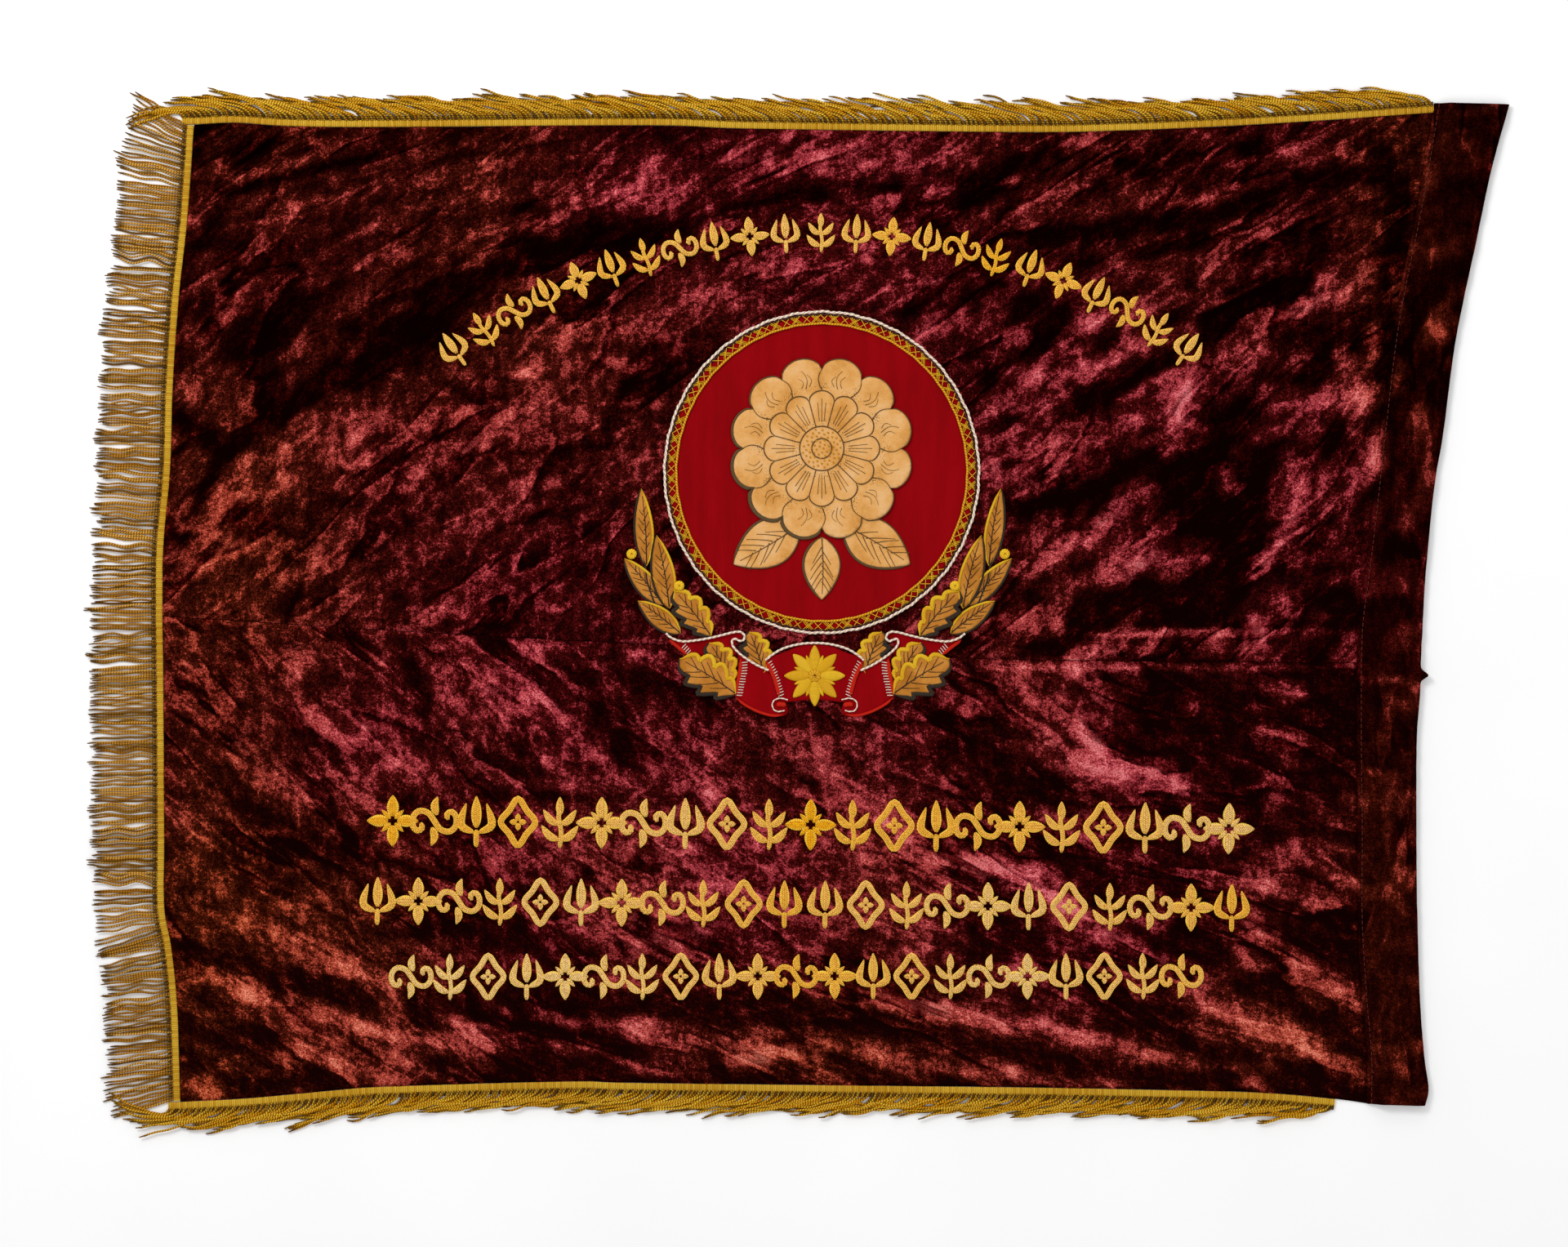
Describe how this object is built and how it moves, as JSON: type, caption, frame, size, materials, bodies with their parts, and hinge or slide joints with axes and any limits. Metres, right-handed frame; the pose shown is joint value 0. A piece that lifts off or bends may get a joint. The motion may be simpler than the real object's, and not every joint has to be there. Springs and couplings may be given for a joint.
{
  "type": "velvet banner",
  "caption": "Fringed velvet banner lying flat, with a pole sleeve and a sewn-on round emblem in a leaf spray with a ribbon.",
  "frame": {"origin": "on the surface the banner lies on, under the middle of its overall length and width", "axes": "+X along the length to the pole sleeve, +Y to the top edge as it is read, +Z out of the face"},
  "size_m": [1.6734, 1.2198, 0.012],
  "materials": {
    "velvet": "crushed pile velvet, dark crimson to brown",
    "gold_yarn": "twisted gold-coloured rayon yarn",
    "red_satin": "smooth crimson satin",
    "white_cord": "twisted off-white cord",
    "sand_felt": "sand-coloured felt, stitched",
    "gold_felt": "brown-gold felt with satin-stitched edges"
  },
  "bodies": {
    "root": {"velvet_upper": "velvet", "velvet_lower": "velvet", "pole_sleeve": "velvet", "fringe_top": "gold_yarn", "fringe_fly": "gold_yarn", "fringe_bottom": "gold_yarn", "medallion_braid": "gold_yarn", "rosette": "gold_yarn", "berry_outer_fly": "gold_yarn", "berry_outer_pole": "gold_yarn", "berry_inner_fly": "gold_yarn", "berry_inner_pole": "gold_yarn", "medallion_ground": "red_satin", "ribbon_middle": "red_satin", "ribbon_side_fly": "red_satin", "ribbon_side_pole": "red_satin", "ribbon_tail_fly": "red_satin", "ribbon_tail_pole": "red_satin", "medallion_cord": "white_cord", "blossom": "sand_felt", "blossom_leaf_fly": "sand_felt", "blossom_leaf_pole": "sand_felt", "blossom_leaf_low": "sand_felt", "laurel_a_fly": "gold_felt", "laurel_a_pole": "gold_felt", "laurel_b_fly": "gold_felt", "laurel_b_pole": "gold_felt", "laurel_c_fly": "gold_felt", "laurel_c_pole": "gold_felt", "laurel_d_fly": "gold_felt", "laurel_d_pole": "gold_felt", "oak_rear_fly": "gold_felt", "oak_rear_pole": "gold_felt", "oak_lower_fly": "gold_felt", "oak_lower_pole": "gold_felt", "oak_upper_fly": "gold_felt", "oak_upper_pole": "gold_felt", "oak_small_fly": "gold_felt", "oak_small_pole": "gold_felt"}
  },
  "joints": []
}
